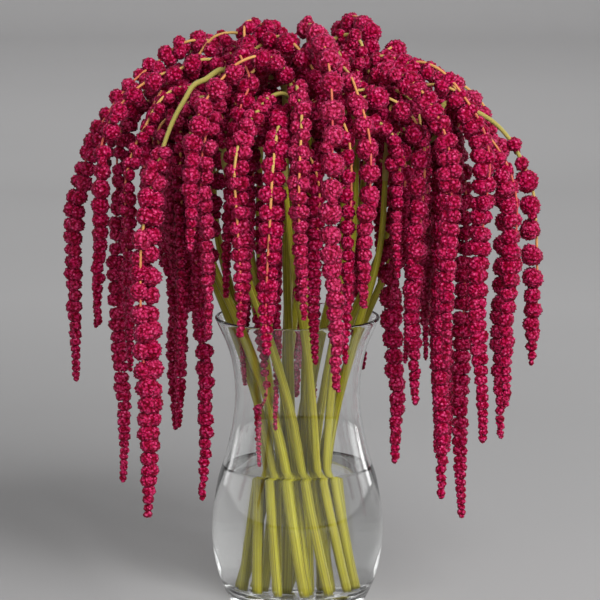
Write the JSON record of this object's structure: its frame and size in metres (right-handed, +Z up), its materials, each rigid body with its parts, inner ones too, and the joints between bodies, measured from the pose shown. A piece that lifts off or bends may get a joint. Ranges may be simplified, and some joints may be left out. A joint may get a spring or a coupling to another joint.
{
  "type": "bunch of hanging amaranth seed heads in a glass vase",
  "caption": "Bunch of crimson hanging amaranth seed heads that arch and hang in beaded tassels from green stems standing in water in a clear flared glass vase.",
  "frame": {"origin": "centre of the flat underside of the vase", "axes": "+Z up along the vase's axis, -Y towards the front of the bunch, +X to its right as the picture shows it"},
  "size_m": [0.4276, 0.3764, 0.5319],
  "materials": {
    "glass": "clear, polished",
    "water": "clear liquid",
    "green_stem": "smooth, ribbed, satin",
    "seed_cluster": "granular, matte"
  },
  "bodies": {
    "root": {"vase": "glass", "water": "water", "stem_01": "green_stem", "stem_02": "green_stem", "stem_03": "green_stem", "stem_04": "green_stem", "stem_05": "green_stem", "stem_06": "green_stem", "stem_07": "green_stem", "stem_08": "green_stem", "stem_09": "green_stem", "stem_10": "green_stem", "stem_11": "green_stem", "stem_12": "green_stem", "stem_13": "green_stem", "stem_14": "green_stem", "stem_15": "green_stem", "stem_16": "green_stem", "stem_17": "green_stem", "stem_18": "green_stem", "stem_19": "green_stem", "stem_20": "green_stem", "spray_01": "seed_cluster", "spray_02": "seed_cluster", "spray_03": "seed_cluster", "spray_04": "seed_cluster", "spray_05": "seed_cluster", "spray_06": "seed_cluster", "spray_07": "seed_cluster", "spray_08": "seed_cluster", "spray_09": "seed_cluster", "spray_10": "seed_cluster", "spray_11": "seed_cluster", "spray_12": "seed_cluster", "spray_13": "seed_cluster", "spray_14": "seed_cluster", "spray_15": "seed_cluster", "spray_16": "seed_cluster", "spray_17": "seed_cluster", "spray_18": "seed_cluster", "spray_19": "seed_cluster", "spray_20": "seed_cluster"}
  },
  "joints": []
}
